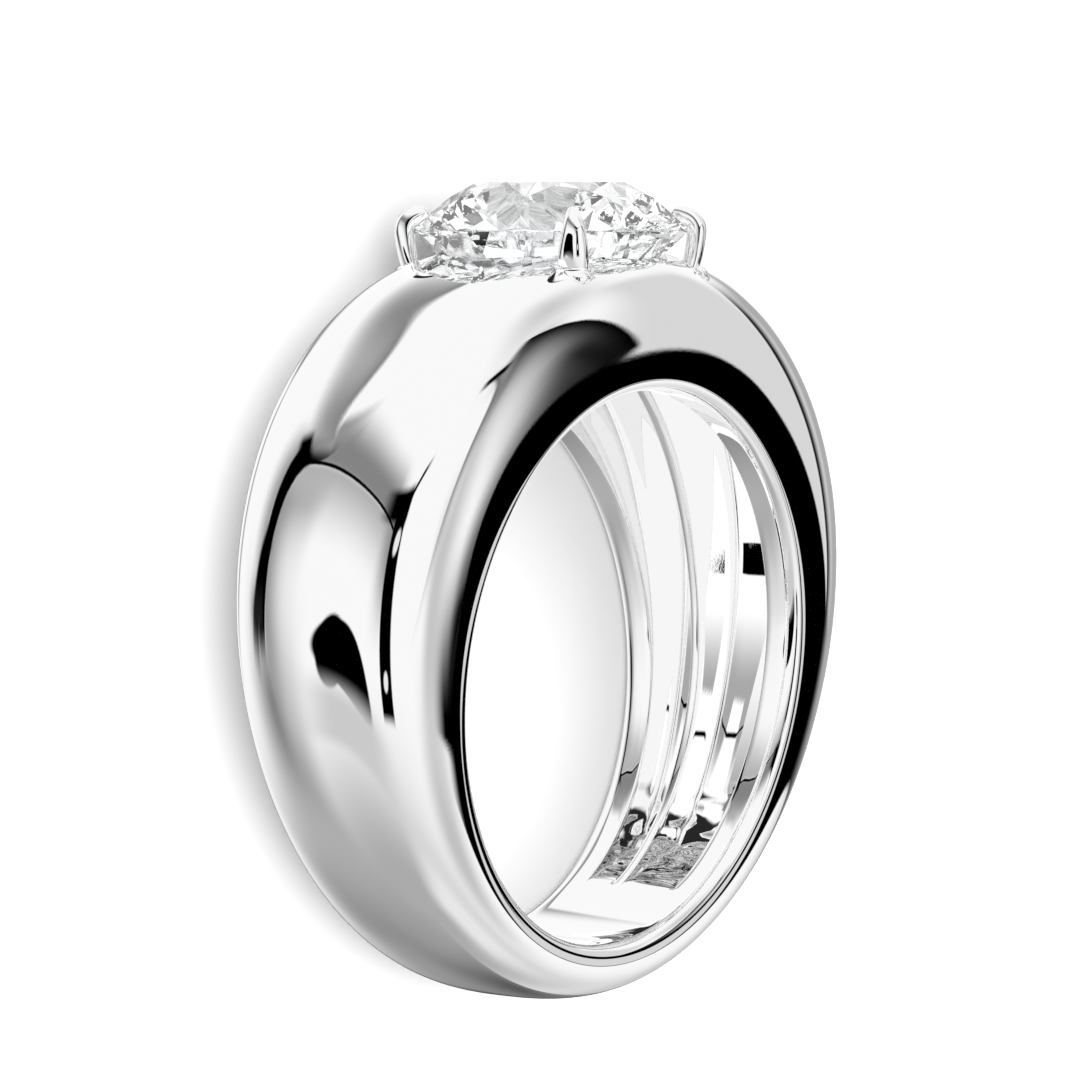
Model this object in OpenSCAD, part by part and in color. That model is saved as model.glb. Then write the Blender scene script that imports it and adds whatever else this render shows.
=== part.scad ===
// Dome ring: a tapered, domed band, hollowed from inside, that carries one round stone in four claws.
// It lies on one of its side faces. The finger hole's middle is the origin.

/* [Finger hole] */
// Inside diameter, between US sizes 5 1/2 and 6
finger_d = 16.3; // [14:0.1:20]
// How far the rounded rim steps outwards from the hole
rim_rise = 0.35; // [0.2:0.05:0.5]
// How much of the band's width the rounded rim takes on each side
rim_run = 0.46; // [0.3:0.02:0.6]

/* [Band] */
// Width of the band beside the stone
top_w = 7.8; // [7:0.1:10]
// Width of the band at the back of the finger
back_w = 5.2; // [4.6:0.1:6.4]
// Metal from the finger hole to the top of the dome, under the stone
top_t = 4.25; // [3.9:0.05:5]
// The same at the shoulders, an eighth of a turn from the stone
shoulder_t = 4.6; // [4.2:0.05:5.4]
// The same at the sides, a quarter of a turn from the stone
side_t = 4.05; // [3.6:0.05:5]
// The same below the sides, three eighths of a turn from the stone
lower_t = 2.35; // [2:0.05:3.2]
// The same at the back of the finger
back_t = 1.73; // [1.4:0.05:2.4]
// How square the dome's section is at the top: 2 is an ellipse, and more is squarer
top_fullness = 4.6; // [2:0.1:6]
// How square the dome's section is at the sides
side_fullness = 2.5; // [2:0.1:6]
// How square the dome's section is at the back
back_fullness = 2.9; // [2:0.1:6]

/* [Hollow] */
// Metal between the hollow and the outside, at the top
top_wall = 1.4; // [1:0.05:1.8]
// The same at the shoulders
shoulder_wall = 1.15; // [1:0.05:2]
// The same at the sides
side_wall = 2.25; // [1:0.05:2.4]
// The same below the sides
lower_wall = 1.15; // [0.8:0.05:1.3]
// Width of the ledge on each side of the hollow, from the side face
ledge_w = 1.1; // [0.8:0.05:1.3]
// Thickness of the rib that parts the hollow in two
rib_t = 0.3; // [0.2:0.05:0.6]
// Distance of the rib from the band's middle plane, towards the side that it lies on
rib_shift = 0.47; // [0:0.01:0.6]
// How far the rib's inner edge stands back from the finger hole under the stone
rib_relief = 2.05; // [0:0.05:2.3]
// Angle from the stone, seen along the finger, at which the hollow's mouth ends
end_angle = 150; // [130:1:152]
// Slope of the hollow's end walls
end_slope = 16; // [10:1:24]

/* [Stone] */
// Diameter of the round stone
stone_d = 8.2; // [7.4:0.1:8.6]
// Diameter across the corners of the stone's flat top
table_d = 4.4; // [3.6:0.1:5]
// Height of the stone from its girdle to its flat top
crown_h = 1.33; // [1:0.01:1.6]
// Thickness of the stone's edge
girdle_h = 0.16; // [0.15:0.01:0.3]
// Depth of the stone below its girdle
pavilion_h = 3.52; // [3:0.01:3.6]
// Height of the stone's girdle above the top of the dome
girdle_rise = 0.32; // [0.2:0.01:1]
// Clearance between the stone and the metal that holds it
seat_gap = 0.03; // [0.02:0.01:0.06]
// Diameter of the hole in the dome under the stone
open_back_d = 3.9; // [3:0.1:4.4]

/* [Claws] */
// Width of a claw at its foot
claw_w = 0.84; // [0.6:0.02:1]
// Thickness of a claw, measured outwards from the stone
claw_t = 0.6; // [0.4:0.01:0.7]
// How far a claw's inner face reaches in over the stone's edge
claw_grip = 0.04; // [0.02:0.01:0.08]
// Radius at which a claw bends over the stone
claw_bend_r = 0.48; // [0.4:0.01:0.6]
// Width of a claw at its tip
claw_tip_w = 0.26; // [0.16:0.02:0.4]
// How far a claw's foot leans in towards the stone
claw_lean = 0.08; // [0:0.01:0.2]
// Depth to which a claw is let into the dome
claw_root = 0.55; // [0.4:0.05:0.8]

/* [Hidden] */

SECTIONS = 88;
DOME_STEPS = 24;
RIM_STEPS = 3;
ROUND = 96;

finger_r = finger_d / 2;
rim_r = finger_r + rim_rise;
mean_half_w = (top_w + back_w) / 4;
taper = (top_w - back_w) / 4 / rim_r;
lie_angle = atan(taper);

dome_top_r = finger_r + top_t;
stone_r = stone_d / 2;
girdle_y = dome_top_r + girdle_rise;
crown_y = girdle_y + girdle_h;
culet_y = girdle_y - pavilion_h;

outer_t = [top_t, shoulder_t, side_t, lower_t, back_t];
inner_wall = [top_wall, shoulder_wall, side_wall, lower_wall, lower_wall];
fullness = [top_fullness, side_fullness, back_fullness];

// Smooth, even curve round the ring through values set at equal angles from the stone to the back
function blend(values, angle) =
    let (last = len(values) - 1)
    sum([for (k = [0:last])
        sum([for (j = [0:last])
            (j == 0 || j == last ? 0.5 : 1) * values[j] * cos(180 * k * j / last)])
        * (k == 0 || k == last ? 1 : 2) / last * cos(k * angle)]);

function sum(list, i = 0) = i == len(list) ? 0 : list[i] + sum(list, i + 1);

// A place in the ring: angle from the stone, distance from the finger axis, distance from the middle plane
function place(angle, r, w) = [r * sin(angle), r * cos(angle), w];

// Half the band's width at a height y, where the side faces are flat
function half_w(y) = mean_half_w + taper * y;

function outer_r(angle) = finger_r + blend(outer_t, angle);
function hollow_r(angle) = outer_r(angle) - blend(inner_wall, angle);

// One side of the band's section: rounded rim, then the dome, from one side face to the other
function rim_points(half, side) =
    [for (i = [0:RIM_STEPS]) let (f = 20 + 70 * i / RIM_STEPS)
        [side * (half - rim_run * (1 - sin(f))), rim_r - rim_rise * cos(f)]];

function dome_points(half, height, power) =
    [for (i = [1:DOME_STEPS - 1])
        let (f = 180 * i / DOME_STEPS, c = cos(f), s = sin(f),
             d = pow(pow(abs(c), power) + pow(s, power), 1 / power))
        [half * c / d, rim_r + height * s / d]];

function reversed(list) = [for (i = [len(list) - 1:-1:0]) list[i]];

function band_section(angle) =
    let (half = half_w(rim_r * cos(angle)),
         rim = rim_points(half, 1),
         start = [rim[0][0] - 3 * rim_rise, finger_r - 0.75 * rim_rise])
    concat([start], rim, dome_points(half, outer_r(angle) - rim_r, blend(fullness, angle)),
           reversed(rim_points(half, -1)), [[-start[0], start[1]]]);

function rings_to_points(rings) = [for (ring = rings) each ring];

// Triangles between rings of n points each, joined end to end or closed by flat ends
function ring_faces(count, n, closed) =
    concat(
        [for (i = [0:count - (closed ? 1 : 2)], j = [0:n - 1])
            let (a = i * n + j, b = i * n + (j + 1) % n,
                 c = ((i + 1) % count) * n + (j + 1) % n, d = ((i + 1) % count) * n + j)
            each [[a, b, c], [a, c, d]]],
        closed ? [] : [[for (j = [n - 1:-1:0]) j], [for (j = [0:n - 1]) (count - 1) * n + j]]);

module sweep(rings, closed = false) {
    polyhedron(rings_to_points(rings), ring_faces(len(rings), len(rings[0]), closed), convexity = 8);
}

module dome_form() {
    sweep([for (i = [0:SECTIONS - 1])
        let (angle = 360 * i / SECTIONS)
        [for (p = band_section(angle)) place(angle, p[1], p[0])]], closed = true);
}

module finger_hole() {
    cylinder(r = finger_r, h = 3 * top_w, center = true, $fn = ROUND);
}

// One half of the hollow, between two side planes. Each plane is given as its distance from the
// middle plane at the finger axis and how fast that grows towards the stone.
HOLLOW_STEPS = 48;
function hollow_section(angle, low, high) =
    let (r0 = finger_r - rim_run, r1 = hollow_r(angle))
    [for (p = [[low, r0], [low, r1], [high, r1], [high, r0]])
        place(angle, p[1], p[0][0] + p[0][1] * p[1] * cos(angle))];

module hollow_part(low, high) {
    reach = end_angle + 6;
    sweep([for (i = [0:HOLLOW_STEPS])
        hollow_section(reach * (2 * i / HOLLOW_STEPS - 1), high, low)]);
}

// Everything above the two sloping end walls
module above_end_walls() {
    mouth = [finger_r * sin(end_angle), finger_r * cos(end_angle)];
    far = 2 * dome_top_r;
    linear_extrude(height = 3 * top_w, center = true)
        polygon([[0, mouth[1] - mouth[0] * tan(end_slope)],
                 [far, mouth[1] + (far - mouth[0]) * tan(end_slope)],
                 [far, far], [-far, far],
                 [-far, mouth[1] + (far - mouth[0]) * tan(end_slope)]]);
}

// The rib's inner edge follows the finger hole below and half an ellipse above, clear of the stone
RIB_STEPS = 36;
module hollow() {
    wall_at = mean_half_w - ledge_w;
    intersection() {
        union() {
            hollow_part([-wall_at, -taper], [-rib_shift - rib_t / 2, 0]);
            hollow_part([-rib_shift + rib_t / 2, 0], [wall_at, taper]);
        }
        above_end_walls();
    }
    translate([0, 0, -rib_shift])
        linear_extrude(height = 2 * rib_t, center = true)
            polygon([for (i = [0:RIB_STEPS])
                let (angle = 180 * i / RIB_STEPS - 90)
                [finger_r * sin(angle), (finger_r + rib_relief) * cos(angle)]]);
}

// Corner points of a round brilliant, on the stone's own axis, which is y
function spoke(angle, r, y) = [r * sin(angle), y, r * cos(angle)];

// The brilliant's planes, run on past the girdle so that a round girdle can be cut from them
module brilliant_planes(grow) {
    table_r = table_d / 2;
    crown_slope = crown_h / (stone_r - table_r);
    pavilion_slope = pavilion_h / stone_r;
    star_r = (table_r * cos(22.5) + stone_r) / 2;
    star_y = crown_y + (stone_r - star_r * cos(22.5)) * crown_slope;
    lower_r = 0.24 * stone_r;
    lower_y = culet_y + lower_r * cos(22.5) * pavilion_slope;
    past = stone_r * (1 / cos(11.25) - 1) * 1.1;
    upper_slope = (star_y - crown_y) / (stone_r - star_r);
    lower_slope = (girdle_y - lower_y) / (stone_r - lower_r);
    big = 1 + grow / stone_r;
    middle = (girdle_y + crown_y) / 2;
    points = concat(
        [for (k = [0:7]) spoke(45 * k, table_r, crown_y + crown_h)],
        [for (k = [0:7]) spoke(45 * k + 22.5, star_r, star_y)],
        [for (k = [0:15]) spoke(22.5 * k, stone_r + past, crown_y - past * upper_slope)],
        [for (k = [0:15]) spoke(22.5 * k, stone_r + past, girdle_y + past * lower_slope)],
        [for (k = [0:7]) spoke(45 * k + 22.5, lower_r, lower_y)],
        [[0, culet_y, 0]]);
    translate([0, middle, 0]) scale(big) translate([0, -middle, 0])
        hull() polyhedron(points, [[for (i = [0:len(points) - 1]) i]]);
}

module stone_form(grow = 0) {
    intersection() {
        brilliant_planes(grow);
        rotate([-90, 0, 0])
            cylinder(r = stone_r + grow, h = crown_y + crown_h + grow, $fn = ROUND);
    }
}

// A claw's rings: a shaft that leans out of the dome, then a bend over the stone's edge
CLAW_SIDES = 10;
BEND_STEPS = 8;
BEND_TURN = 108;
function claw_ring(middle, turn, t, w) =
    [for (j = [0:CLAW_SIDES - 1]) let (f = 360 * j / CLAW_SIDES)
        [w / 2 * sin(f), middle[1] + t / 2 * cos(f) * sin(turn), middle[0] + t / 2 * cos(f) * cos(turn)]];

module claw() {
    shaft_r = stone_r - claw_grip + claw_t / 2;
    foot_y = dome_top_r - claw_root - top_t * 0.17;
    bend_w = claw_w * 0.86;
    foot = [claw_ring([shaft_r - claw_lean, foot_y], 0, claw_t, claw_w)];
    bend = [for (i = [0:BEND_STEPS])
        let (u = i / BEND_STEPS, turn = BEND_TURN * u,
             middle = [shaft_r - claw_bend_r * (1 - cos(turn)), girdle_y + claw_bend_r * sin(turn)])
        claw_ring(middle, turn, claw_t * (1 - 0.45 * u * u), bend_w + (claw_tip_w - bend_w) * u * u)];
    sweep(concat(foot, bend));
}

module claws() {
    for (k = [0:3]) rotate([0, 45 + 90 * k, 0]) claw();
}

// Turned so that one flat side face is level, as the ring lies
module as_it_lies() {
    rotate([lie_angle, 0, 0]) children();
}

module band() {
    color("gainsboro")
    as_it_lies()
    difference() {
        union() {
            dome_form();
            claws();
        }
        finger_hole();
        hollow();
        stone_form(seat_gap);
        rotate([-90, 0, 0])
            cylinder(d = open_back_d, h = dome_top_r - top_t * 0.2, $fn = ROUND);
    }
}

module stone() {
    color("azure", 0.5)
    as_it_lies()
    stone_form();
}

band();
stone();
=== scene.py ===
"""Dome ring: a mirror-polished white gold band, cast hollow, with a round brilliant stone in four claws.

Lengths are in millimetres while a piece is shaped, and become metres at the end. The ring is shaped
standing on its own axes: X across the finger, Y towards the stone, Z along the finger. It is then laid
on one of its side faces, which is how the frame holds it.
"""

import math

import bmesh
import bpy
from mathutils import Matrix, Vector, noise


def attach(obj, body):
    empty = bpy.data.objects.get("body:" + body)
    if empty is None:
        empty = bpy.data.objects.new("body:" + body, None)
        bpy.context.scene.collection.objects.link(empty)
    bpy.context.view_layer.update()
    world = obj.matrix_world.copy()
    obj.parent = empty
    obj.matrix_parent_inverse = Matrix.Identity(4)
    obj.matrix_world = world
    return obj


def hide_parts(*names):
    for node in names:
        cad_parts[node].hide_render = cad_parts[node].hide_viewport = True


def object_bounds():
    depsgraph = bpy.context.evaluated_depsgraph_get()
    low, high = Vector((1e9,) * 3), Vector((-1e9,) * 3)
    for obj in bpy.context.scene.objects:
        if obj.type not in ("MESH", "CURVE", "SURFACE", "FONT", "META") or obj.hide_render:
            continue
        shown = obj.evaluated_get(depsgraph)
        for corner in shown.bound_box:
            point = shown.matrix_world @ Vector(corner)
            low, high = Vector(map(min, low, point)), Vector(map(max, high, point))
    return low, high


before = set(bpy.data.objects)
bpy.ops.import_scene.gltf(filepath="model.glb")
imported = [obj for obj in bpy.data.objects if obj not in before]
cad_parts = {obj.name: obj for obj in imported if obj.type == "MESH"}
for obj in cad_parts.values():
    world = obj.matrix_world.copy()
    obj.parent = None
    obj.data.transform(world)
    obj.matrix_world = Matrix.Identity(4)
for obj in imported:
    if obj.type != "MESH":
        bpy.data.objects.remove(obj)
cad_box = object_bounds()

MM = 0.001

# Finger hole and its rounded rims
HOLE_R = 8.15
RIM_RISE = 0.35
RIM_RUN = 0.46
RIM_R = HOLE_R + RIM_RISE

# The band narrows from the stone to the back of the finger
TOP_WIDTH = 7.8
BACK_WIDTH = 5.2
MEAN_HALF_WIDTH = (TOP_WIDTH + BACK_WIDTH) / 4
TAPER = (TOP_WIDTH - BACK_WIDTH) / 4 / RIM_R

# Metal from the hole to the outside, at equal angles from the stone to the back of the finger
THICKNESS = (4.25, 4.6, 4.05, 2.35, 1.73)
FULLNESS = (4.6, 2.5, 2.9)

# The hollow inside the band
WALL = (1.4, 1.15, 2.25, 1.15, 1.15)
LEDGE = 1.1
RIB_THICKNESS = 0.3
RIB_SHIFT = 0.47
RIB_RELIEF = 2.05
END_ANGLE = math.radians(150)
END_SLOPE = math.radians(16)
END_WALL_FROM = math.radians(100)
END_BLEND = 0.5
MOUTH_ROUND = 0.06
FLOOR_ROUND = 0.12
CREST_ROUND = 0.05

# The rough ripple at the ends of the hollows: from and to, in degrees from the stone, how fast it comes
# and goes, its height, its turns to the millimetre, and how far it keeps off the mouth and the floor
RIPPLE_FROM = 118
RIPPLE_RISE = 8
RIPPLE_TO = 151
RIPPLE_FALL = 3
RIPPLE_HEIGHT = 0.15
RIPPLE_PER_MM = (2.1, 2.1, 1.1)
RIPPLE_OFF_MOUTH = 0.25
RIPPLE_OFF_DOME = 0.6

# The stone and its seat
STONE_R = 4.1
GIRDLE_RISE = 0.32
GIRDLE_Y = HOLE_R + THICKNESS[0] + GIRDLE_RISE
HALF_GIRDLE = 0.08
SEAT_GAP = 0.03
OPEN_BACK_R = 1.95
OPEN_BACK_LENGTH = 4
OPEN_BACK_Y = 9.5

# The four claws, from a foot sunk in the dome up and over the stone's edge
CLAW_WIDTH = 0.92
CLAW_THICKNESS = 0.6
CLAW_GRIP = 0.04
CLAW_BEND_R = 0.48
CLAW_BEND = math.radians(125)
CLAW_TIP_WIDTH = 0.28
CLAW_TAPER_FROM = 0.3
CLAW_TAPER_POWER = 1.4
CLAW_TIP_FROM = 0.7
CLAW_TIP_LENGTH = 0.3
CLAW_FOOT_THINNING = 0.1
CLAW_TIP_THINNING = 0.15
CLAW_RISE = 0.04
CLAW_LEAN = 0.42
CLAW_BELLY = 0.08
CLAW_FOOT_DEPTH = 0.55
DOME_SHARE_AT_CLAW = 0.83  # how high the dome still is there, against its top
CLAW_FOOT_Y = HOLE_R + THICKNESS[0] * DOME_SHARE_AT_CLAW - CLAW_FOOT_DEPTH

# The bead of solder at each claw's foot
BEAD_SIZE = (0.5, 0.24, 0.34)
BEAD_Y = 11.52
BEAD_OUT = STONE_R + 0.3
BEAD_TILT = math.radians(40)

# Fineness of the meshes: sections round the finger, then steps along each part of a section
SECTIONS = 320
RIM_STEPS = 8
DOME_STEPS = 64
ROUND_STEPS = 4
CREST_STEPS = 3
WALL_STEPS = 5
FLOOR_STEPS = 7
LEDGE_STEPS = 3
CLAW_STEPS = 36
CLAW_SIDES = 24
BEAD_SIDES = 32
BEAD_ROWS = 16
OPEN_BACK_SIDES = 96
WELD = 0.0005  # points of a piece closer than this, in millimetres, become one
NODE_WELD = 1e-7  # the same for the stone of the frame, in metres
SHARP_OVER = 40  # degrees between two faces, above which their edge stays crisp
NEVER_SHARP = 180

LAID_DOWN = Matrix.Rotation(math.atan(TAPER), 4, "X")


def around(values, angle):
    """Smooth, even curve round the ring through values set at equal angles from the stone."""
    last = len(values) - 1
    total = 0.0
    for k in range(last + 1):
        share = sum((0.5 if j in (0, last) else 1) * values[j] * math.cos(math.pi * k * j / last)
                    for j in range(last + 1))
        total += share * (1 if k in (0, last) else 2) / last * math.cos(k * angle)
    return total


def smooth_least(a, b, blend):
    """The lesser of two lengths, with a fillet of about that size where they cross."""
    h = max(blend - abs(a - b), 0.0) / blend
    return min(a, b) - h * h * blend / 4


def hollow_floor(angle):
    """Distance of the hollow's floor from the finger axis, down its sloping end wall to the mouth."""
    turn = abs(angle)
    floor = HOLE_R + around(THICKNESS, turn) - around(WALL, turn)
    if turn < END_WALL_FROM:
        return floor
    slope = math.tan(END_SLOPE)
    start = HOLE_R * (math.cos(END_ANGLE) - slope * math.sin(END_ANGLE))
    end_wall = start / (math.cos(turn) - slope * math.sin(turn))
    return max(HOLE_R, smooth_least(floor, end_wall, END_BLEND))


def rib_edge(angle):
    """Distance of the rib's inner edge from the finger axis."""
    if abs(angle) >= math.pi / 2:
        return HOLE_R
    return 1 / math.hypot(math.sin(angle) / HOLE_R, math.cos(angle) / (HOLE_R + RIB_RELIEF))


def arc(centre, start, end, radius, steps):
    """Points on a quarter or half round, in the section's own plane, both ends included."""
    points = []
    for i in range(steps + 1):
        turn = math.radians(start + (end - start) * i / steps)
        points.append((centre[0] + radius * math.cos(turn), centre[1] + radius * math.sin(turn)))
    return points


def straight(a, b, steps):
    """Points between two others, neither end included."""
    return [(a[0] + (b[0] - a[0]) * i / steps, a[1] + (b[1] - a[1]) * i / steps) for i in range(1, steps)]


def band_section(angle):
    """The band's outline where it is cut across, as (place across the band, distance from the axis)."""
    half = MEAN_HALF_WIDTH + TAPER * RIM_R * math.cos(angle)
    height = HOLE_R + around(THICKNESS, angle) - RIM_R
    power = around(FULLNESS, angle)
    rim = []
    for i in range(RIM_STEPS + 1):
        turn = math.radians(90 * i / RIM_STEPS)
        rim.append((half - RIM_RUN * (1 - math.sin(turn)), RIM_R - RIM_RISE * math.cos(turn)))
    dome = []
    for i in range(1, DOME_STEPS):
        turn = math.pi * i / DOME_STEPS
        size = (abs(math.cos(turn)) ** power + math.sin(turn) ** power) ** (1 / power)
        dome.append((half * math.cos(turn) / size, RIM_R + height * math.sin(turn) / size))
    outside = rim + dome + [(-w, r) for w, r in reversed(rim)]

    floor = hollow_floor(angle)
    depth = floor - HOLE_R
    edge = min(rib_edge(angle), floor)
    wall = MEAN_HALF_WIDTH - LEDGE + TAPER * HOLE_R * math.cos(angle)
    rib = RIB_THICKNESS / 2
    mouth = min(MOUTH_ROUND, depth / 3)
    corner = min(FLOOR_ROUND, depth / 3)
    rib_corner = min(corner, max(floor - edge, 0.0) / 3)
    crest = min(CREST_ROUND, max(floor - edge, 0.0) / 3)

    def half_of_hollow(far_wall, rib_face):
        """From the mouth, up the outer wall, along the floor and down the rib, towards positive w."""
        left = arc((far_wall - mouth, HOLE_R + mouth), -90, 0, mouth, ROUND_STEPS)
        left_top = arc((far_wall + corner, floor - corner), 180, 90, corner, ROUND_STEPS)
        right_top = arc((rib_face - rib_corner, floor - rib_corner), 90, 0, rib_corner, ROUND_STEPS)
        points = left + straight(left[-1], left_top[0], WALL_STEPS) + left_top
        points += straight(left_top[-1], right_top[0], FLOOR_STEPS) + right_top
        return points

    far_half = half_of_hollow(-wall, -RIB_SHIFT - rib)
    near_half = [(-w, r) for w, r in reversed(half_of_hollow(-wall, RIB_SHIFT - rib))]
    crest_points = arc((-RIB_SHIFT - rib + crest, edge + crest), 180, 270, crest, CREST_STEPS)
    crest_points += arc((-RIB_SHIFT + rib - crest, edge + crest), 270, 360, crest, CREST_STEPS)
    inside = straight(outside[-1], far_half[0], LEDGE_STEPS) + far_half
    inside += straight(far_half[-1], crest_points[0], WALL_STEPS) + crest_points
    inside += straight(crest_points[-1], near_half[0], WALL_STEPS) + near_half
    inside += straight(near_half[-1], outside[0], LEDGE_STEPS)
    return outside + inside


def cast_ripple(place, angle):
    """How far the rough-finished ends of the hollow stand off their true shape."""
    turn = math.degrees(abs(angle))
    rising = max(0.0, min(1.0, (turn - RIPPLE_FROM) / RIPPLE_RISE))
    falling = max(0.0, min(1.0, (RIPPLE_TO - turn) / RIPPLE_FALL))
    strength = rising * falling
    dome_r = HOLE_R + around(THICKNESS, angle)
    inside_hollow = HOLE_R + RIPPLE_OFF_MOUTH < place.xy.length < dome_r - RIPPLE_OFF_DOME
    if strength == 0 or not inside_hollow or abs(place.z) > MEAN_HALF_WIDTH - LEDGE:
        return 0.0
    spot = Vector([at * turns for at, turns in zip(place, RIPPLE_PER_MM)])
    return RIPPLE_HEIGHT * strength * noise.noise(spot)


def make_band():
    """A round bar is spun into a hoop, and each point of it goes to its place in the ring's section."""
    sections = {}
    count = len(band_section(0.0))
    # Any bar and hoop that keep clear of the axis would do, since each point then moves to its place
    bar_r, bar_at = 1.0, 10.0
    mesh = bmesh.new()
    loop = bmesh.ops.create_circle(mesh, segments=count, radius=bar_r)["verts"]
    bmesh.ops.rotate(mesh, verts=loop, matrix=Matrix.Rotation(math.pi / 2, 3, "X"))
    bmesh.ops.translate(mesh, verts=loop, vec=(0, bar_at, 0))
    bmesh.ops.rotate(mesh, verts=loop, cent=(0, bar_at, 0), matrix=Matrix.Rotation(math.pi / 2, 3, "Z"))
    bmesh.ops.spin(mesh, geom=loop + mesh.edges[:], cent=(0, 0, 0), axis=(0, 0, 1),
                   angle=2 * math.pi, steps=SECTIONS, use_merge=True, use_duplicate=False)
    for vert in mesh.verts:
        angle = math.atan2(vert.co.x, vert.co.y)
        spot = round(math.atan2(vert.co.xy.length - bar_at, vert.co.z) / (2 * math.pi) * count) % count
        key = round(angle / (2 * math.pi) * SECTIONS) % SECTIONS
        if key not in sections:
            sections[key] = band_section(angle)
        w, r = sections[key][spot]
        place = Vector((r * math.sin(angle), r * math.cos(angle), w))
        r += cast_ripple(place, angle)
        vert.co = (r * math.sin(angle), r * math.cos(angle), w)
    bmesh.ops.remove_doubles(mesh, verts=mesh.verts[:], dist=WELD)
    bmesh.ops.dissolve_degenerate(mesh, edges=mesh.edges[:], dist=WELD)
    bmesh.ops.recalc_face_normals(mesh, faces=mesh.faces[:])
    return mesh


def claw_station(u):
    """Middle of the claw as (distance from the stone's axis, height), its turn, and its two sizes."""
    shaft_r = STONE_R - CLAW_GRIP + CLAW_THICKNESS / 2
    shaft = GIRDLE_Y + CLAW_RISE - CLAW_FOOT_Y
    length = shaft + CLAW_BEND_R * CLAW_BEND
    along = u * length
    past = max(0.0, (along - shaft) / (length - shaft))
    if along < shaft:
        low = 1 - along / shaft
        belly = math.sin(math.pi * along / shaft) * CLAW_BELLY
        middle, turn = (shaft_r - CLAW_LEAN * low + belly, CLAW_FOOT_Y + along), 0.0
        depth = CLAW_THICKNESS * (1 - CLAW_FOOT_THINNING * low)
    else:
        turn = (along - shaft) / CLAW_BEND_R
        middle = (shaft_r - CLAW_BEND_R * (1 - math.cos(turn)),
                  GIRDLE_Y + CLAW_RISE + CLAW_BEND_R * math.sin(turn))
        depth = CLAW_THICKNESS * (1 - CLAW_TIP_THINNING * past ** 2)
    narrowing = (max(0.0, u - CLAW_TAPER_FROM) / (1 - CLAW_TAPER_FROM)) ** CLAW_TAPER_POWER
    width = CLAW_WIDTH + (CLAW_TIP_WIDTH - CLAW_WIDTH) * narrowing
    tip = max(0.0, (past - CLAW_TIP_FROM) / CLAW_TIP_LENGTH)
    # The round tip keeps a twentieth of its size at the very end, so that its cap stays a real face
    size = max(math.sqrt(max(0.0, 1 - tip * tip)), 0.05)
    return middle, turn, width * size, depth * size


def place_at_quarter(one, quarter, all_four):
    """Turns one claw or bead to its quarter round the stone and adds it to the others."""
    turn = Matrix.Rotation(math.radians(45 + 90 * quarter), 3, "Y")
    bmesh.ops.rotate(one, verts=one.verts[:], matrix=turn)
    bmesh.ops.recalc_face_normals(one, faces=one.faces[:])
    carrier = bpy.data.meshes.new("carrier")
    one.to_mesh(carrier)
    one.free()
    all_four.from_mesh(carrier)
    bpy.data.meshes.remove(carrier)


def make_claw(claws, quarter):
    """A straight rod is bent up out of the dome and over the stone's edge."""
    # The rod is one long and centred, so half above its middle is the tip and half below it the foot
    rod = bmesh.new()
    bmesh.ops.create_cone(rod, cap_ends=True, segments=CLAW_SIDES, radius1=1, radius2=1, depth=1)
    long_edges = [e for e in rod.edges if abs(e.verts[0].co.z - e.verts[1].co.z) > 0.5]
    bmesh.ops.subdivide_edges(rod, edges=long_edges, cuts=CLAW_STEPS, use_grid_fill=True)
    for vert in rod.verts:
        middle, turn, width, depth = claw_station(vert.co.z + 0.5)
        out = vert.co.y * depth / 2
        vert.co = (vert.co.x * width / 2, middle[1] + out * math.sin(turn),
                   middle[0] + out * math.cos(turn))
    place_at_quarter(rod, quarter, claws)


def make_solder_bead(beads, quarter):
    """A small flat bead of solder runs out on the dome at the claw's foot."""
    bead = bmesh.new()
    bmesh.ops.create_uvsphere(bead, u_segments=BEAD_SIDES, v_segments=BEAD_ROWS, radius=1)
    bmesh.ops.scale(bead, vec=BEAD_SIZE, verts=bead.verts[:])
    bmesh.ops.rotate(bead, verts=bead.verts[:], matrix=Matrix.Rotation(BEAD_TILT, 3, "X"))
    bmesh.ops.translate(bead, verts=bead.verts[:], vec=(0, BEAD_Y, BEAD_OUT))
    place_at_quarter(bead, quarter, beads)


def finish_mesh(mesh, name, sharp_over):
    """Lays the piece down, turns it to metres and gives it smooth faces with sharp corners kept."""
    bmesh.ops.transform(mesh, matrix=LAID_DOWN, verts=mesh.verts[:])
    bmesh.ops.scale(mesh, vec=(MM, MM, MM), verts=mesh.verts[:])
    data = bpy.data.meshes.new(name)
    mesh.to_mesh(data)
    mesh.free()
    data.polygons.foreach_set("use_smooth", [True] * len(data.polygons))
    data.set_sharp_from_angle(angle=math.radians(sharp_over))
    piece = bpy.data.objects.new(name, data)
    bpy.context.scene.collection.objects.link(piece)
    return piece


def cut_or_join(piece, other, operation):
    """Cuts the other piece out of this one, or joins it on, and drops the other piece."""
    boolean = piece.modifiers.new(operation.lower(), "BOOLEAN")
    boolean.operation = operation
    boolean.solver = "EXACT"
    boolean.object = other
    bpy.context.view_layer.update()
    made = bpy.data.meshes.new_from_object(piece.evaluated_get(bpy.context.evaluated_depsgraph_get()))
    piece.modifiers.clear()
    old = piece.data
    piece.data = made
    bpy.data.meshes.remove(old)
    bpy.data.objects.remove(other)


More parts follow.
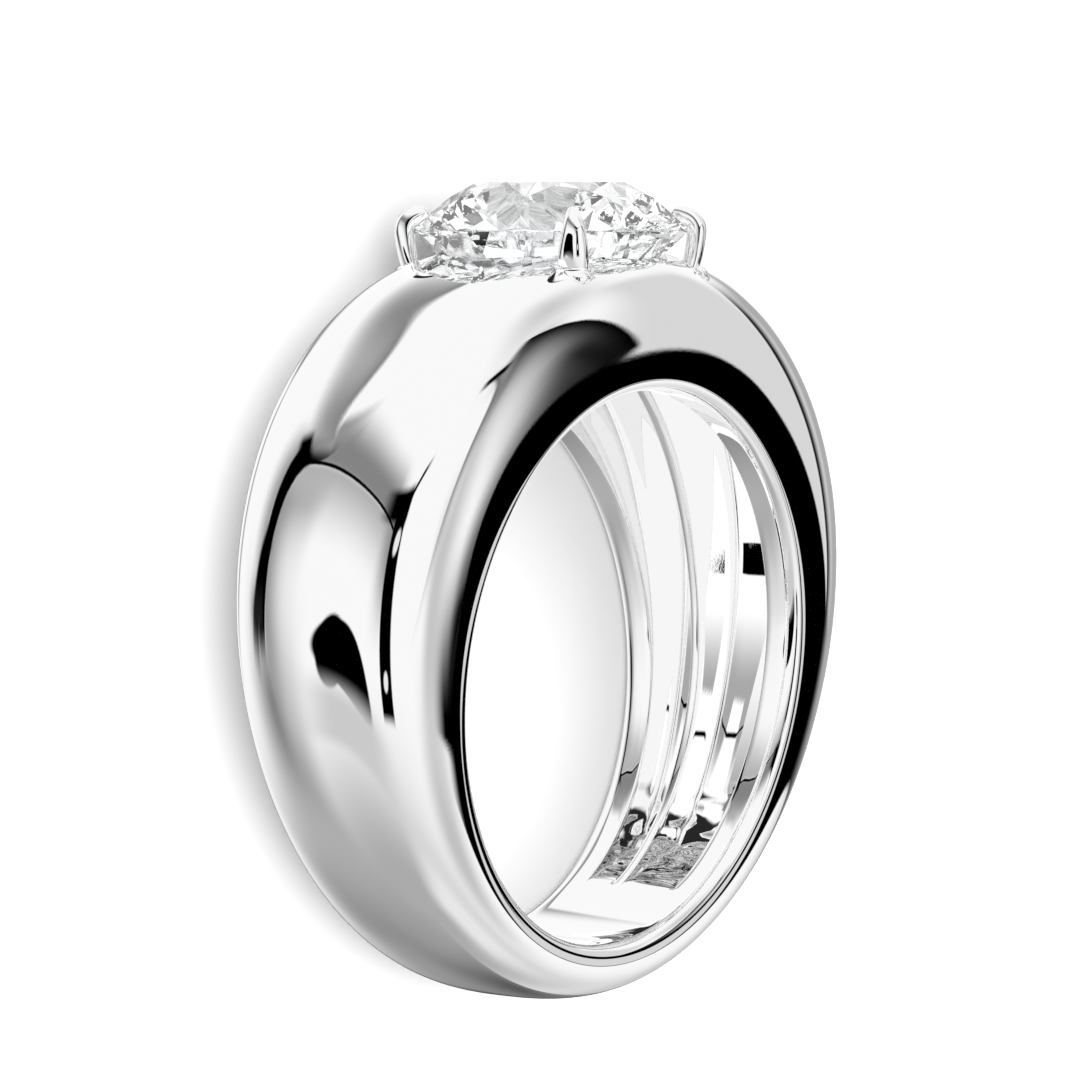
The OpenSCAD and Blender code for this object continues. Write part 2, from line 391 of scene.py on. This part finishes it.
def make_seat_cutter():
    """The stone's own form, grown by its clearance."""
    mesh = bmesh.new()
    mesh.from_mesh(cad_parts["stone"].data)
    bmesh.ops.remove_doubles(mesh, verts=mesh.verts[:], dist=NODE_WELD)
    centre = LAID_DOWN @ Vector((0, GIRDLE_Y + HALF_GIRDLE, 0)) * MM
    grown = 1 + SEAT_GAP / STONE_R
    bmesh.ops.scale(mesh, vec=(grown, grown, grown), space=Matrix.Translation(-centre), verts=mesh.verts[:])
    bmesh.ops.recalc_face_normals(mesh, faces=mesh.faces[:])
    bmesh.ops.transform(mesh, matrix=LAID_DOWN.inverted() @ Matrix.Scale(1 / MM, 4), verts=mesh.verts[:])
    return finish_mesh(mesh, "seat_cutter", NEVER_SHARP)


def make_open_back_cutter():
    """The round hole under the stone, as a plain rod."""
    mesh = bmesh.new()
    bmesh.ops.create_cone(mesh, cap_ends=True, segments=OPEN_BACK_SIDES, radius1=OPEN_BACK_R,
                          radius2=OPEN_BACK_R, depth=OPEN_BACK_LENGTH)
    bmesh.ops.rotate(mesh, verts=mesh.verts[:], matrix=Matrix.Rotation(math.pi / 2, 3, "X"))
    bmesh.ops.translate(mesh, verts=mesh.verts[:], vec=(0, OPEN_BACK_Y, 0))
    return finish_mesh(mesh, "open_back_cutter", NEVER_SHARP)


def hex_colour(code):
    """An sRGB hex colour as the linear values that the shaders take."""
    parts = [int(code[i:i + 2], 16) / 255 for i in (1, 3, 5)]
    return tuple(p / 12.92 if p <= 0.04045 else ((p + 0.055) / 1.055) ** 2.4 for p in parts) + (1.0,)


def add(tree, kind, settings=None, inputs=None):
    """Adds a node. An input's value is a number, a colour, or a socket to link from."""
    node = tree.nodes.new(kind)
    for name, value in (settings or {}).items():
        setattr(node, name, value)
    for name, value in (inputs or {}).items():
        if isinstance(value, bpy.types.NodeSocket):
            tree.links.new(value, node.inputs[name])
        else:
            node.inputs[name].default_value = value
    return node


def new_material(name):
    material = bpy.data.materials.new(name)
    material.use_nodes = True
    material.node_tree.nodes.clear()
    return material, material.node_tree


def white_gold():
    """Rhodium-plated white gold, buffed to a mirror: near-white and neutral, with crisp reflections."""
    material, tree = new_material("rhodium_plated_white_gold_mirror_polished")
    place = add(tree, "ShaderNodeTexCoord").outputs["Object"]
    # Buffing leaves cloudy patches, slightly less crisp
    cloud_size = 10 / 7 * MM
    cloud = add(tree, "ShaderNodeTexNoise", None, {"Vector": place, "Scale": 1 / cloud_size, "Detail": 3.0})
    haze = add(tree, "ShaderNodeMapRange", None,
               {"Value": cloud.outputs["Fac"], "From Min": 0.35, "From Max": 0.75,
                "To Min": 0.004, "To Max": 0.014})
    # Polishing grain from crest to crest, drawn coarser than the real one so that it shows at all
    grain_size = 0.08 * MM
    grain = add(tree, "ShaderNodeTexNoise", None, {"Vector": place, "Scale": 1 / grain_size, "Detail": 2.0})
    bump = add(tree, "ShaderNodeBump", None,
               {"Height": grain.outputs["Fac"], "Strength": 0.004, "Distance": 0.02 * MM})
    shader = add(tree, "ShaderNodeBsdfPrincipled", None,
                 {"Base Color": hex_colour("#F4F4F4"), "Metallic": 1.0, "Roughness": haze.outputs["Result"],
                  "Normal": bump.outputs["Normal"]})
    add(tree, "ShaderNodeOutputMaterial", None, {"Surface": shader.outputs["BSDF"]})
    return material


def diamond():
    """Colourless brilliant-cut diamond: clear, with a very high index that folds the light back up."""
    material, tree = new_material("diamond_colourless_polished")
    shader = add(tree, "ShaderNodeBsdfPrincipled", None,
                 {"Base Color": hex_colour("#FDFEFF"), "Roughness": 0.0, "IOR": 2.417,
                  "Transmission Weight": 1.0})
    add(tree, "ShaderNodeOutputMaterial", None, {"Surface": shader.outputs["BSDF"]})
    return material


def seamless_paper():
    """White studio paper, dull all over."""
    material, tree = new_material("studio_paper_white_matt")
    shader = add(tree, "ShaderNodeBsdfPrincipled", None,
                 {"Base Color": hex_colour("#F7F7F7"), "Roughness": 0.9, "Specular IOR Level": 0.1})
    add(tree, "ShaderNodeOutputMaterial", None, {"Surface": shader.outputs["BSDF"]})
    return material


# What the polished metal reflects, by direction, later cards over earlier ones. Each has a name, its
# middle (degrees round from the left of the finger hole towards the camera's side, degrees up towards
# the stone), half width and half height, turn, how far its ends droop, the blur of its edges (left,
# right, below, above, in degrees; one share all round makes the card round) and its brightness.
STUDIO_CARDS = (
    ("floor", 0, -90, 400, 45, 0, 0, (1, 1, 1, 30), 0.56),
    ("bright floor on the right", 120, -62, 44, 12, 0, 0, (20, 40, 8, 9), 1.1),
    ("floor at far right", 122, -24, 12, 9, 0, 0, (10, 10, 8, 8), 0.74),
    ("haze low right", 119, -8, 7, 9, 0, 0, (5, 7, 6, 6), 0.78),
    ("shaded floor on the left", -125, -50, 45, 22, 0, 0, (30, 45, 28, 22), 0.36),
    ("shaded floor far left", 200, -25, 22, 14, 0, 0, (20, 8, 10, 1), 0.78),
    ("floor streak", -143, -33, 7, 24, 0, 0, (7, 14, 20, 12), 0.08),
    ("outline", -143.7, -5.3, 12, 12, 0, 0, 0.4, 0.04),
    ("under left flag", -58, -24, 14, 22, 0, 0, (24, 16, 26, 18), 0.2),
    ("left panel edge", -99, 51.4, 39.4, 1, 7.7, 14, (4, 2, 3.2, 0.4), 0.16),
    ("grey over left flag", -57.7, 47.4, 8, 3.5, -28, 0, (4, 6, 0.4, 7), 0.4),
    ("left swirl", -110, 5, 12, 2.2, 90, -6, (5, 4, 5, 3), 0.15),
    ("left swirl rise", -130, 10.5, 14, 2, 36, 2, (3, 3, 2, 4), 0.15),
    ("grey above arc", 2.8, 44.3, 60, 6.4, -11.3, 11.6, (6, 10, 0.4, 7.5), 0.32),
    ("grey below arc", 0.6, 33.3, 60, 4.8, -11.3, 11.6, (6, 8, 13, 2), 0.54),
    ("shade left of middle flag", 55, 10, 5, 12, -10, 0, (12, 2, 14, 6), 0.3),
    ("dark above arc", 57, 21.5, 17, 4.3, -18, 0, (12, 1, 1.5, 1.5), 0),
    ("arc", 1.5, 38, 60, 0.5, -11.3, 11.6, (2, 2, 0.25, 0.25), 0),
    ("left of left flag", -63, 24, 4, 20, 0, 0, (9, 2, 8, 3), 0.45),
    ("beside left flag", -48.5, 8, 4.5, 26, 0, 0, (1, 8, 14, 6), 0.45),
    ("left flag", -55.6, 17, 25, 3.6, 90, -2.5, (5, 3, 0.5, 0.8), 0),
    ("left flag skirt", -61.5, 5, 15, 4.2, 65, 0, (8, 2, 1.5, 1.5), 0),
    ("left flag head", -59.3, 40.3, 5.5, 1.7, -28, 0, (2.5, 0.4, 1.2, 0.4), 0),
    ("left flag foot", -64, -1, 8, 4, 0, 0, (8, 1, 6, 6), 0.02),
    ("camera", 12, -12.5, 38, 9.5, -18, 5, 0.06, 0),
    ("camera left", -4.5, -9.6, 17.5, 10.8, -4, 0, 0.08, 0),
    ("floor before the camera", 15, -31.5, 45, 8.5, -10, 0, (26, 18, 3, 5), 0.82),
    ("middle flag", 64.5, -3, 23, 7.1, 97, 3, (1.5, 2.5, 0.8, 0.8), 0),
    ("lamp high", 65.6, 10, 3.4, 2.9, 0, 0, 0.25, 1.12),
    ("lamp low", 67.8, -18.4, 2.8, 2, 0, 0, 0.25, 1.12),
    ("wire", 77, 20.2, 7, 1, 14, 0.5, (1, 4, 0.5, 0.4), 0),
    ("haze high right", 128, 38, 12, 14, 0, 0, (16, 14, 14, 14), 0.8),
    ("side of the room", 155, 8, 14, 20, 0, 0, (4, 6, 1, 4), 0.93),
    ("grey right", 123, 12, 3, 9, 0, 0, (3, 9, 11, 4), 0.18),
    ("right flag slope", 131.6, 10.7, 17, 3.5, -49.3, 2, (3, 0.3, 7, 0.3), 0),
    ("right flag tip", 139.4, 0, 3.6, 1.5, -42, 0, (4, 0.3, 3, 1.6), 0),
    ("right flag curl", 119.6, 10, 13, 1.2, 90, -8, (10, 3, 4, 0.8), 0.05),
    ("right flag top", 113.8, 21, 6, 1.1, -25, 0, (3, 2, 0.8, 0.5), 0),
    ("right flag corner", 135.6, -10.6, 10, 2.5, 8.7, 0, (6, 0.5, 0.4, 4), 0),
    ("right flag root", 138, -6.5, 5, 1.6, 50, 0, (2, 1, 0.5, 4), 0),
    ("right flag strip", 168, -10.8, 33, 3.2, 0, 1.2, (4, 20, 0.3, 0.5), 0),
    ("right flag hump", 146, -7, 9, 5.5, 0, 0, 0.03, 0),
    ("right flag brow", 160, -8.2, 11.5, 3, -15, 0, (1, 4, 0.5, 0.3), 0),
    ("floor in the flat side", 145, -9.8, 3, 1.35, 0, 0, 0.12, 0.92),
    ("floor under it", 145.5, -11.9, 1.2, 2, 0, 0, (0.4, 0.4, 0.4, 0.4), 0.92),
    ("right lens", 169.6, 3, 15, 3.6, 90, 6, (1, 6, 6, 1), 0),
    ("haze beyond the lens", 190, 3, 14, 15, 0, 0, (8, 6, 4, 4), 0.55),
)
OPEN_STUDIO = 1.3  # how bright the studio is where no card stands

# What a reflection of a reflection shows, mostly inside the ring: a simpler studio, which keeps it clean
INNER_CARDS = (
    ("lens over the hole", 29.45, -3, 4.9, 4.2, 0, 0, (0.3, 0.05, 0.3, 0.3), 0),
    ("shade under the beam", 27.7, 22, 10, 7, 0, 0, (5, 0.3, 7, 0.3), 0.6),
    ("beam", 30, 29.5, 14, 0.5, 0, 0, (2, 2, 0.3, 0.3), 0),
    ("shade over the beam", 27.7, 34, 10, 4, 0, 0, (5, 2, 0.3, 8), 0.5),
    ("dark ceiling", -15, 76, 140, 27, 0, 0, (15, 20, 4, 1), 0.03),
)
INNER_STUDIO = 1.55

PLAIN_LIGHT = 2.2  # the even light that falls on everything, and that the eye sees behind the ring
SEAM = 30  # degrees that the seam in the cards' directions is turned by, to where no card's edge lies
LIGHT_BOUNCES = 16  # a cut stone sends light round inside itself many times before it comes out


def card_cover(tree, degrees, card):
    """How far one card hides what lies behind it: nought to one."""
    name, at, up, half_w, half_h, tilt, droop, soft, _ = card
    own = add(tree, "ShaderNodeMapping", {"vector_type": "TEXTURE", "label": name},
              {"Vector": degrees, "Location": (at, up, 0), "Rotation": (0, 0, math.radians(tilt)),
               "Scale": (half_w, 1, 1)})
    sides = add(tree, "ShaderNodeSeparateXYZ", None, {"Vector": own.outputs["Vector"]})
    square = add(tree, "ShaderNodeMath", {"operation": "MULTIPLY"},
                 {0: sides.outputs["X"], 1: sides.outputs["X"]})
    bent = add(tree, "ShaderNodeMath", {"operation": "MULTIPLY_ADD"},
               {0: square.outputs[0], 1: droop, 2: sides.outputs["Y"]})
    spot = add(tree, "ShaderNodeCombineXYZ", None, {"X": sides.outputs["X"], "Y": bent.outputs[0]})
    if not isinstance(soft, tuple):
        scaled = add(tree, "ShaderNodeVectorMath", {"operation": "DIVIDE"},
                     {0: spot.outputs["Vector"], 1: (1, half_h, 1)})
        reach = add(tree, "ShaderNodeVectorMath", {"operation": "LENGTH"}, {0: scaled.outputs["Vector"]})
        cover = add(tree, "ShaderNodeMapRange", {"interpolation_type": "SMOOTHSTEP"},
                    {"Value": reach.outputs["Value"], "From Min": 1 + soft, "From Max": 1 - soft})
        return cover.outputs["Result"]
    left, right, below, above = soft
    low = add(tree, "ShaderNodeMapRange",
              {"data_type": "FLOAT_VECTOR", "interpolation_type": "SMOOTHSTEP"},
              {"Vector": spot.outputs["Vector"], "From Min": (-1 - left / half_w, -half_h - below, 0),
               "From Max": (-1 + left / half_w, -half_h + below, 1)})
    high = add(tree, "ShaderNodeMapRange",
               {"data_type": "FLOAT_VECTOR", "interpolation_type": "SMOOTHSTEP"},
               {"Vector": spot.outputs["Vector"], "From Min": (1 + right / half_w, half_h + above, 1),
                "From Max": (1 - right / half_w, half_h - above, 0)})
    edges = add(tree, "ShaderNodeVectorMath", {"operation": "MULTIPLY"},
                {0: low.outputs["Vector"], 1: high.outputs["Vector"]})
    both = add(tree, "ShaderNodeSeparateXYZ", None, {"Vector": edges.outputs["Vector"]})
    return add(tree, "ShaderNodeMath", {"operation": "MULTIPLY"},
               {0: both.outputs["X"], 1: both.outputs["Y"]}).outputs[0]


def lay_cards(tree, degrees, cards, open_level):
    """Brightness of a studio by direction: its open level with each card laid over the ones before."""
    level = open_level
    for card in cards:
        laid = add(tree, "ShaderNodeMix", {"data_type": "FLOAT"},
                   {"Factor": card_cover(tree, degrees, card), "A": level, "B": card[-1]})
        level = laid.outputs["Result"]
    return level


def make_world():
    """A white studio with black flags, seen in the polished metal alone. All else gets plain even light."""
    world = bpy.data.worlds.new("soft_white_studio")
    bpy.context.scene.world = world
    world.use_nodes = True
    tree = world.node_tree
    tree.nodes.clear()
    look = add(tree, "ShaderNodeTexCoord").outputs["Generated"]
    # Direction on the standing ring's axes, with the seam turned away, then in degrees round and up
    seam = Matrix.Rotation(math.radians(-SEAM), 3, "Y")
    turned = (seam @ LAID_DOWN.to_3x3().inverted()).to_euler()
    ring_way = add(tree, "ShaderNodeMapping", {"vector_type": "POINT"},
                   {"Vector": look, "Rotation": turned})
    axes = add(tree, "ShaderNodeSeparateXYZ", None, {"Vector": ring_way.outputs["Vector"]})
    left = add(tree, "ShaderNodeMath", {"operation": "MULTIPLY"}, {0: axes.outputs["X"], 1: -1.0})
    turn = add(tree, "ShaderNodeMath", {"operation": "ARCTAN2"}, {0: axes.outputs["Z"], 1: left.outputs[0]})
    rise = add(tree, "ShaderNodeMath", {"operation": "ARCSINE"}, {0: axes.outputs["Y"]})
    angles = add(tree, "ShaderNodeCombineXYZ", None, {"X": turn.outputs[0], "Y": rise.outputs[0]})
    degrees = add(tree, "ShaderNodeVectorMath", {"operation": "MULTIPLY_ADD"},
                  {0: angles.outputs["Vector"], 1: (180 / math.pi,) * 3, 2: (SEAM, 0, 0)}).outputs["Vector"]
    rays = add(tree, "ShaderNodeLightPath")
    first_sight = lay_cards(tree, degrees, STUDIO_CARDS, OPEN_STUDIO)
    second_sight = lay_cards(tree, degrees, INNER_CARDS, INNER_STUDIO)
    # The depth is one on the first reflection and two or more on the next ones
    again = add(tree, "ShaderNodeMath", {"operation": "GREATER_THAN"},
                {0: rays.outputs["Glossy Depth"], 1: 1.5})
    level = add(tree, "ShaderNodeMix", {"data_type": "FLOAT"},
                {"Factor": again.outputs[0], "A": first_sight, "B": second_sight}).outputs["Result"]
    studio = add(tree, "ShaderNodeBackground", None, {"Strength": level})
    plain = add(tree, "ShaderNodeBackground", None, {"Strength": PLAIN_LIGHT})
    both = add(tree, "ShaderNodeMixShader", None,
               {"Fac": rays.outputs["Is Glossy Ray"], 1: plain.outputs["Background"],
                2: studio.outputs["Background"]})
    add(tree, "ShaderNodeOutputWorld", None, {"Surface": both.outputs["Shader"]})


def make_floor():
    """The paper that the ring lies on, wide enough to fill every view."""
    half_width = 1.5  # metres
    mesh = bmesh.new()
    bmesh.ops.create_grid(mesh, x_segments=1, y_segments=1, size=half_width)
    bmesh.ops.translate(mesh, verts=mesh.verts[:], vec=(0, 0, cad_box[0][2]))
    data = bpy.data.meshes.new("studio_floor")
    mesh.to_mesh(data)
    mesh.free()
    floor = bpy.data.objects.new("studio_floor", data)
    bpy.context.scene.collection.objects.link(floor)
    data.materials.append(seamless_paper())
    floor.visible_glossy = False  # the studio round the ring already holds the floor that the metal shows


def make_camera():
    """Looks at the ring from the photo's angle, with the stone upwards in the picture."""
    # From the middle of the finger hole, in millimetres, then the turn of the ring and of the camera
    distance, height = 154.17, 14.21
    swing, pitch, yaw = math.radians(53.70), math.radians(3.92), math.radians(-0.12)
    across = Vector((math.cos(swing), 0, math.sin(swing)))
    away = Vector((math.sin(swing), 0, -math.cos(swing)))
    up = Vector((0, 1, 0))
    forward = (math.sin(yaw) * math.cos(pitch) * across + math.cos(yaw) * math.cos(pitch) * away
               - math.sin(pitch) * up)
    right = math.cos(yaw) * across - math.sin(yaw) * away
    top = right.cross(forward)
    place = (height * up - distance * away) * MM
    turned = Matrix((right, top, -forward)).transposed().to_4x4()
    lens = bpy.data.cameras.new("camera")
    lens.lens = 174.2  # millimetres
    lens.clip_start = 0.01  # metres
    camera = bpy.data.objects.new("camera", lens)
    camera.matrix_world = LAID_DOWN @ Matrix.Translation(place) @ turned
    bpy.context.scene.collection.objects.link(camera)
    bpy.context.scene.camera = camera


make_camera()
make_floor()
make_world()
bpy.context.scene.view_settings.view_transform = "Standard"
bpy.context.scene.cycles.max_bounces = LIGHT_BOUNCES
bpy.context.scene.cycles.glossy_bounces = LIGHT_BOUNCES
bpy.context.scene.cycles.transmission_bounces = LIGHT_BOUNCES

band = finish_mesh(make_band(), "polished_band", SHARP_OVER)
claws = bmesh.new()
beads = bmesh.new()
for quarter in range(4):
    make_claw(claws, quarter)
    make_solder_bead(beads, quarter)
claws = finish_mesh(claws, "claws", SHARP_OVER)
cut_or_join(claws, make_seat_cutter(), "DIFFERENCE")
cut_or_join(band, make_seat_cutter(), "DIFFERENCE")
cut_or_join(band, make_open_back_cutter(), "DIFFERENCE")
cut_or_join(band, claws, "UNION")
cut_or_join(band, finish_mesh(beads, "solder_beads", SHARP_OVER), "UNION")
band.data.set_sharp_from_angle(angle=math.radians(SHARP_OVER))
band.data.materials.clear()
band.data.materials.append(white_gold())
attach(band, "root")
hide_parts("band")

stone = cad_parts["stone"]
stone.data.materials.clear()
stone.data.materials.append(diamond())
